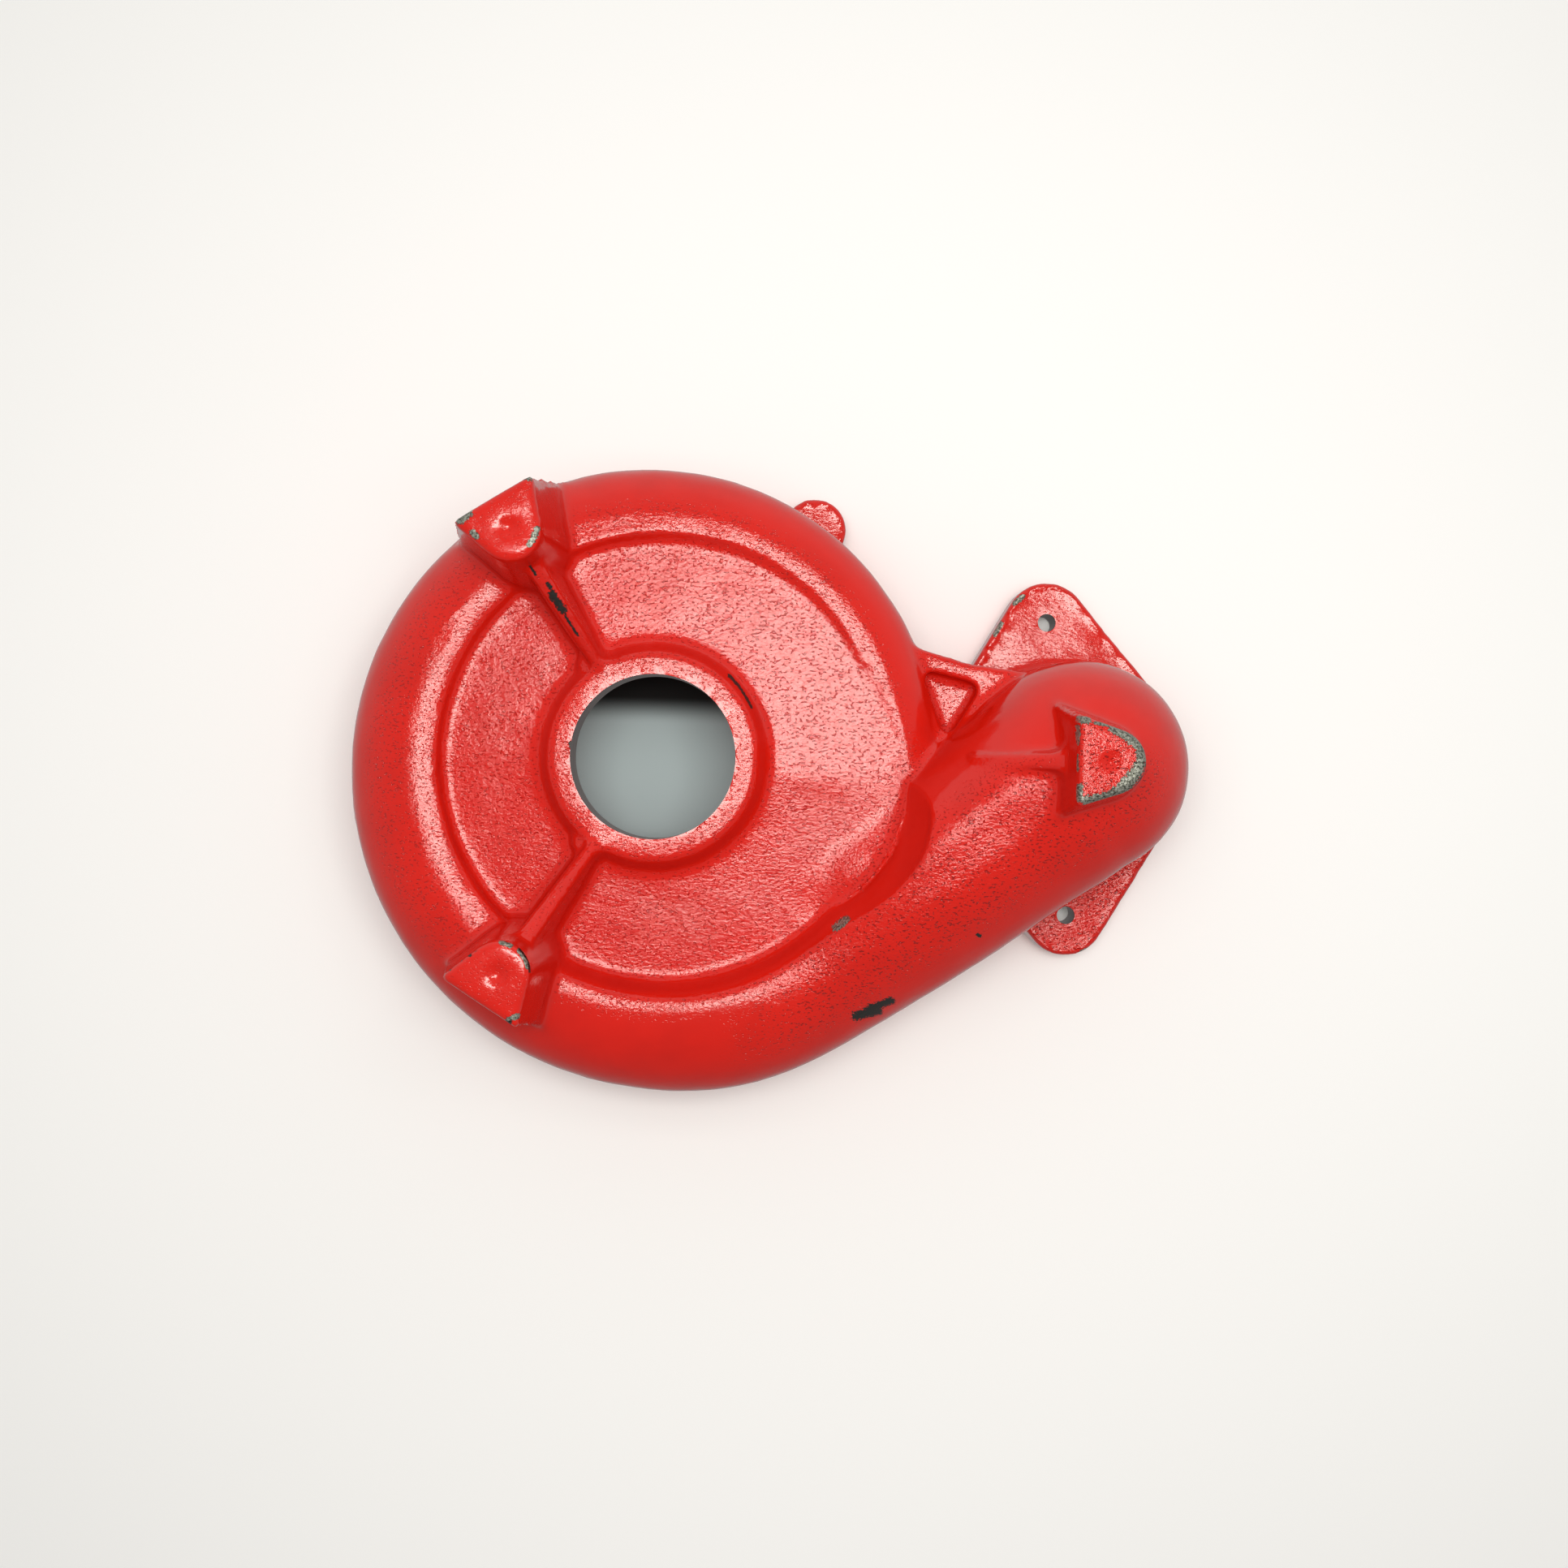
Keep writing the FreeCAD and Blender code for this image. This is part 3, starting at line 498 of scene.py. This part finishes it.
def store(mesh, name, values):
    attribute = mesh.attributes.new(name, "FLOAT", "POINT")
    attribute.data.foreach_set("value", values.astype(np.float32))


def smooth_step(values, low, high):
    part = np.clip((values - low) / (high - low), 0, 1)
    return part * part * (3 - 2 * part)


def paint_masks(mesh):
    """Stores where the surface is chipped, and how coarse its grain is."""
    points, normals = vertex_arrays(mesh)
    seen = normals[:, 2] > CHIP_UPWARD
    store(mesh, "metal", np.where(seen, stroke_values(points, METAL_STROKES), -1))
    store(mesh, "dark", np.where(seen, stroke_values(points, DARK_STROKES), -1))
    across, along, height = points.T
    radius = np.hypot(across, along)
    flat = smooth_step(normals[:, 2], *GRAIN_UPWARD)
    cover = 1 - smooth_step(radius, *COVER_GRAIN_R)
    band = smooth_step(-across, *BAND_GRAIN_X)
    neck = smooth_step(across, *NECK_GRAIN_X) * smooth_step(-along, *NECK_GRAIN_Y) * (radius > NECK_GRAIN_R)
    web = (across > WEB_X) * (along > 0) * (height > WEB_HEIGHTS[0]) * (height < WEB_HEIGHTS[1])
    flange = FLANGE_GRAIN * (height < RIM_DEPTH + 2)
    coarse = flat * (np.clip(cover + neck + band + web + flange, 0, 1) + NECK_MORE_GRAIN * neck)
    foot_grain = np.where(across > ELBOW_X - ELBOW_FOOT_HALF, ELBOW_FOOT_GRAIN, COVER_FOOT_GRAIN)
    coarse = np.where(height > FOOT_TOP - 1, foot_grain * flat, coarse)
    store(mesh, "grain", coarse)


def cast_piece(node):
    points, triangles, quads = cast_surface(node)
    mesh = new_mesh("cast_skin", points, triangles[:, ::-1].tolist() + quads[:, ::-1].tolist())
    places, normals = vertex_arrays(mesh)
    moved = lumpy(places, normals)
    raise_shoulder(moved, normals)
    tilt_cover(moved)
    mesh.vertices.foreach_set("co", (moved * MM).ravel())
    piece = link("cast_skin", mesh)
    total = sum(len(polygon.vertices) - 2 for polygon in mesh.polygons)
    thin = piece.modifiers.new("thin", "DECIMATE")
    thin.ratio = min(1.0, SKIN_TRIANGLES / total)
    applied(piece)
    cut(piece, cutter("motor_face", [], box_top=0.0))
    features = [((0, 0), BORE_R, BORE_R, CEILING - 8, BOSS_TOP + 5)]
    features.append(((0, 0), REGISTER_R, REGISTER_R, -5, REGISTER_DEPTH))
    features += [(place, THREAD_R, THREAD_R, -5, depth + 1) for place, depth in hole_places()]
    features.append((DIMPLE_PLACE, DIMPLE_R / 8, DIMPLE_R, FOOT_TOP - DIMPLE_DEPTH, FOOT_TOP + 0.2))
    cut(piece, cutter("machined_features", features))
    refine_chips(piece.data)
    return piece


def mark_machined(mesh):
    """Gives the machined faces the second material."""
    count = len(mesh.polygons)
    centres = np.empty(count * 3)
    normals = np.empty(count * 3)
    mesh.polygons.foreach_get("center", centres)
    mesh.polygons.foreach_get("normal", normals)
    centres = centres.reshape(-1, 3) / MM
    normals = normals.reshape(-1, 3)
    radius = np.hypot(centres[:, 0], centres[:, 1])
    sideways = np.abs(normals[:, 2]) < 0.05
    machined = centres[:, 2] < 0.05
    machined |= sideways & (np.abs(radius - BORE_R) < 0.1) & (centres[:, 2] > CEILING - 1)
    machined |= (radius < REGISTER_R + 0.1) & (centres[:, 2] < REGISTER_DEPTH + 0.05)
    for place, depth in hole_places():
        gap = np.hypot(centres[:, 0] - place[0], centres[:, 1] - place[1])
        machined |= sideways & (gap < THREAD_R + 0.05) & (centres[:, 2] < depth + 1.1)
    mesh.polygons.foreach_set("material_index", machined.astype(np.int32))


# Materials
class Nodes:
    """Short way to add and join shader nodes."""

    def __init__(self, name):
        self.material = bpy.data.materials.new(name)
        self.material.use_nodes = True
        self.tree = self.material.node_tree
        self.shader = self.tree.nodes["Principled BSDF"]

    def add(self, kind, inputs=None, **settings):
        node = self.tree.nodes.new(kind)
        for key, value in settings.items():
            setattr(node, key, value)
        for key, value in (inputs or {}).items():
            self.join(value, node.inputs[key])
        return node

    def join(self, value, socket):
        if isinstance(value, bpy.types.NodeSocket):
            self.tree.links.new(value, socket)
        elif isinstance(value, tuple) and len(value) == 3 and socket.type == "RGBA":
            socket.default_value = (*value, 1)
        else:
            socket.default_value = value

    def math(self, operation, first, second=0.0, clamp=False):
        node = self.add("ShaderNodeMath", {0: first, 1: second}, operation=operation, use_clamp=clamp)
        return node.outputs[0]

    def ramp(self, value, low, high):
        """0 below low, 1 above high, smooth between."""
        inputs = {"Value": value, "From Min": low, "From Max": high}
        return self.add("ShaderNodeMapRange", inputs, interpolation_type="SMOOTHSTEP").outputs[0]

    def mix(self, share, first, second):
        node = self.add("ShaderNodeMix", data_type="RGBA")
        self.join(share, node.inputs["Factor"])
        self.join(first, node.inputs[6])
        self.join(second, node.inputs[7])
        return node.outputs[2]

    def attribute(self, name):
        return self.add("ShaderNodeAttribute", attribute_name=name).outputs["Fac"]

    def noise(self, place, scale, detail=2.0, roughness=0.5):
        inputs = {"Vector": place, "Scale": scale, "Detail": detail, "Roughness": roughness}
        return self.add("ShaderNodeTexNoise", inputs).outputs[0]

    def place(self):
        """Object coordinates in millimetres."""
        coordinates = self.add("ShaderNodeTexCoord").outputs["Object"]
        return self.add("ShaderNodeVectorMath", {0: coordinates, 3: 1 / MM}, operation="SCALE").outputs[0]

    def bump(self, height):
        """Height is in millimetres."""
        return self.add("ShaderNodeBump", {"Height": height, "Distance": MM, "Strength": 1.0}).outputs[0]


def enamelled_iron():
    """Glossy red enamel over sand-cast iron, chipped to bare metal along worn edges."""
    nodes = Nodes("enamelled_iron")
    place = nodes.place()
    grain = nodes.attribute("grain")
    streaked = nodes.add("ShaderNodeMapping", {"Vector": place, "Scale": (0.8, 1.25, 1.25)}).outputs[0]
    coarse = nodes.noise(streaked, 1.15, 3.0, 0.6)
    fine = nodes.noise(place, 2.2, 2.0, 0.5)
    rolling = nodes.noise(place, 0.16, 2.0, 0.5)
    patchy = nodes.noise(place, 0.07, 3.0, 0.6)
    ragged = nodes.math("SUBTRACT", nodes.noise(place, 1.7, 4.0, 0.7), 0.5)
    metal = nodes.math("ADD", nodes.attribute("metal"), nodes.math("MULTIPLY", ragged, METAL_RAGGED))
    metal = nodes.ramp(metal, *CHIP_SHARPNESS)
    dark = nodes.math("ADD", nodes.attribute("dark"), nodes.math("MULTIPLY", ragged, DARK_RAGGED))
    dark = nodes.ramp(dark, *CHIP_SHARPNESS)
    bare = nodes.math("MAXIMUM", metal, dark)
    pits = nodes.math("MULTIPLY", nodes.ramp(nodes.noise(streaked, 1.5, 1.0, 0.5), 0.60, 0.70), grain)
    shade = nodes.math("MULTIPLY", nodes.ramp(patchy, 0.35, 0.75), 0.18)
    red = nodes.mix(nodes.math("ADD", nodes.math("MULTIPLY", pits, 0.55), shade), ENAMEL, ENAMEL_DEEP)
    steel = nodes.mix(nodes.ramp(nodes.noise(place, 1.9, 3.0, 0.7), 0.38, 0.62), BARE_DARK, BARE_LIGHT)
    colour = nodes.mix(metal, red, steel)
    nodes.join(nodes.mix(dark, colour, DARK_IRON), nodes.shader.inputs["Base Color"])
    dull = nodes.math("ADD", nodes.math("MULTIPLY", bare, 0.35), 0.12)
    nodes.join(dull, nodes.shader.inputs["Roughness"])
    nodes.join(nodes.math("MULTIPLY", metal, 0.7), nodes.shader.inputs["Metallic"])
    nodes.shader.inputs["IOR"].default_value = 1.55
    swell = nodes.math("ADD", nodes.math("MULTIPLY", grain, GRAIN_SWELL), SMOOTH_SWELL)
    height = nodes.math("MULTIPLY", coarse, swell)
    fine_swell = nodes.math("MULTIPLY", grain, FINE_SWELL)
    height = nodes.math("ADD", height, nodes.math("MULTIPLY", fine, fine_swell))
    height = nodes.math("ADD", height, nodes.math("MULTIPLY", rolling, ROLLING_SWELL))
    height = nodes.math("SUBTRACT", height, nodes.math("MULTIPLY", pits, PIT_DEPTH))
    height = nodes.math("SUBTRACT", height, nodes.math("MULTIPLY", bare, BARE_DEPTH))
    nodes.join(nodes.bump(height), nodes.shader.inputs["Normal"])
    return nodes.material


def machined_iron():
    """Turned and faced iron, with fine tool lines and a little rust, darker rust in the bore, and painted
    shade on the walls of the tapped holes.
    """
    nodes = Nodes("machined_iron")
    place = nodes.place()
    stretched = nodes.add("ShaderNodeMapping", {"Vector": place, "Scale": (0.15, 0.15, 3.0)}).outputs[0]
    lines = nodes.noise(stretched, 1.0, 3.0, 0.6)
    rust = nodes.ramp(nodes.noise(place, 0.22, 4.0, 0.6), 0.5, 0.75)
    level = nodes.add("ShaderNodeVectorMath", {0: place, 1: (1.0, 1.0, 0.0)}, operation="MULTIPLY")
    reach = nodes.add("ShaderNodeVectorMath", {0: level.outputs[0]}, operation="LENGTH").outputs[1]
    colour = nodes.mix(nodes.math("MULTIPLY", rust, 0.6), MACHINED, RUST)
    colour = nodes.mix(nodes.ramp(reach, BORE_R + 2, BORE_R + 0.5), colour, BORE_RUST_AND_HOLE_SHADE)
    above = nodes.add("ShaderNodeSeparateXYZ", {"Vector": place}).outputs["Z"]
    # Painted shade: machined walls outside the register and above the motor face, which are the tapped
    # holes' walls, take the dark colour
    outside = nodes.ramp(reach, REGISTER_R + 2, REGISTER_R + 4)
    hole = nodes.math("MULTIPLY", outside, nodes.ramp(above, 0.3, 1.0))
    colour = nodes.mix(hole, colour, BORE_RUST_AND_HOLE_SHADE)
    nodes.join(colour, nodes.shader.inputs["Base Color"])
    nodes.shader.inputs["Metallic"].default_value = 0.6
    dull = nodes.math("ADD", nodes.math("MULTIPLY", lines, 0.25), 0.3)
    nodes.join(dull, nodes.shader.inputs["Roughness"])
    nodes.join(nodes.bump(nodes.math("MULTIPLY", lines, 0.03)), nodes.shader.inputs["Normal"])
    return nodes.material


def floor_paper():
    """Pale paper, with painted shade where the casing covers it, turning to painted shadow towards positive
    Y.
    """
    nodes = Nodes("floor_paper")
    place = nodes.place()
    reach = nodes.add("ShaderNodeVectorMath", {0: place}, operation="LENGTH").outputs[1]
    under = nodes.ramp(reach, FLOOR_PAINTED_SHADE_R + 4, FLOOR_PAINTED_SHADE_R)
    along = nodes.add("ShaderNodeSeparateXYZ", {"Vector": place}).outputs["Y"]
    # Painted shadow: the painted shade under the casing turns dark towards positive Y
    shaded = nodes.mix(nodes.ramp(along, FLOOR_PAINTED_SHADOW_FROM, FLOOR_PAINTED_SHADOW_TO), FLOOR_PAINTED_SHADE, FLOOR_PAINTED_SHADOW)
    nodes.join(nodes.mix(under, FLOOR, shaded), nodes.shader.inputs["Base Color"])
    nodes.shader.inputs["Roughness"].default_value = 0.8
    nodes.shader.inputs["Specular IOR Level"].default_value = 0.1
    return nodes.material


# Stage: floor, light and camera
def make_floor():
    half = 4.0
    corners = [(-half, -half, 0), (half, -half, 0), (half, half, 0), (-half, half, 0)]
    mesh = bpy.data.meshes.new("floor")
    mesh.from_pydata(corners, [], [(0, 1, 2, 3)])
    mesh.materials.append(floor_paper())
    floor = link("floor", mesh)
    floor.location = (0, 0, -0.0003)
    floor.visible_glossy = False


def make_light(name, place, size, radiance):
    light = bpy.data.lights.new(name, "AREA")
    light.shape = "RECTANGLE"
    light.color = LIGHT_TINT
    light.size, light.size_y = (side * MM for side in size)
    light.energy = radiance * math.pi * light.size * light.size_y
    lamp = link(name, light)
    lamp.location = Vector(place) * MM
    return lamp


def make_world():
    world = bpy.data.worlds.new("studio")
    bpy.context.scene.world = world
    world.use_nodes = True
    tree = world.node_tree
    background = tree.nodes["Background"]
    coordinates = tree.nodes.new("ShaderNodeTexCoord")
    split = tree.nodes.new("ShaderNodeSeparateXYZ")
    tree.links.new(coordinates.outputs["Generated"], split.inputs[0])
    spread = tree.nodes.new("ShaderNodeMapRange")
    spread.inputs["From Min"].default_value = SKY_UPWARD[0]
    spread.inputs["From Max"].default_value = SKY_UPWARD[1]
    spread.inputs["To Min"].default_value = SKY_SIDE
    spread.inputs["To Max"].default_value = SKY_TOP
    tree.links.new(split.outputs["Z"], spread.inputs["Value"])
    lean = tree.nodes.new("ShaderNodeMapRange")
    lean.inputs["From Min"].default_value = -1.0
    lean.inputs["To Min"].default_value = SKY_LEAN[0]
    lean.inputs["To Max"].default_value = SKY_LEAN[1]
    tree.links.new(split.outputs["Y"], lean.inputs["Value"])
    strength = tree.nodes.new("ShaderNodeMath")
    strength.operation = "MULTIPLY"
    tree.links.new(spread.outputs[0], strength.inputs[0])
    tree.links.new(lean.outputs[0], strength.inputs[1])
    tree.links.new(strength.outputs[0], background.inputs["Strength"])
    background.inputs["Color"].default_value = (*SKY_TINT, 1)


def make_camera():
    data = bpy.data.cameras.new("camera")
    data.sensor_width = SENSOR
    data.lens = PHOTO_FOCAL / PHOTO_SIZE * SENSOR
    data.shift_x = (PHOTO_SIZE / 2 - PHOTO_CENTRE) / PHOTO_SIZE
    data.shift_y = -data.shift_x
    data.clip_start = 0.01
    camera = link("camera", data)
    turned = Matrix.Rotation(math.radians(PHOTO_TURN), 2) @ Vector(CAMERA_PLACE)
    camera.location = Vector((turned.x, turned.y, CAMERA_HEIGHT)) * MM
    camera.rotation_euler = (0, 0, math.radians(PHOTO_TURN))
    bpy.context.scene.camera = camera


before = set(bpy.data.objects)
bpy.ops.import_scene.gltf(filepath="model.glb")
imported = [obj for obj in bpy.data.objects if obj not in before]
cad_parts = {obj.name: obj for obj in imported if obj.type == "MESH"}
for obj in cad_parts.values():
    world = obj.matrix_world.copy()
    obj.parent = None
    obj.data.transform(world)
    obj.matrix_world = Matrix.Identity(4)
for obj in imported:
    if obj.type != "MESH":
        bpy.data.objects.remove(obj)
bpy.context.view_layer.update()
make_camera()
bpy.context.scene.view_settings.view_transform = "Standard"

casting = cast_piece(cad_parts[NODE])
casting.data.materials.clear()
casting.data.materials.append(enamelled_iron())
casting.data.materials.append(machined_iron())
mark_machined(casting.data)
paint_masks(casting.data)
casting.data.polygons.foreach_set("use_smooth", np.ones(len(casting.data.polygons), dtype=bool))
casting.data.set_sharp_from_angle(angle=math.radians(SHARP_ANGLE))
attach(casting, "root")
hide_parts(NODE)
print("cast_skin triangles", len(casting.data.polygons))

make_floor()
make_light("softbox", **SOFTBOX)
make_light("fill", **FILL).visible_glossy = False
make_world()
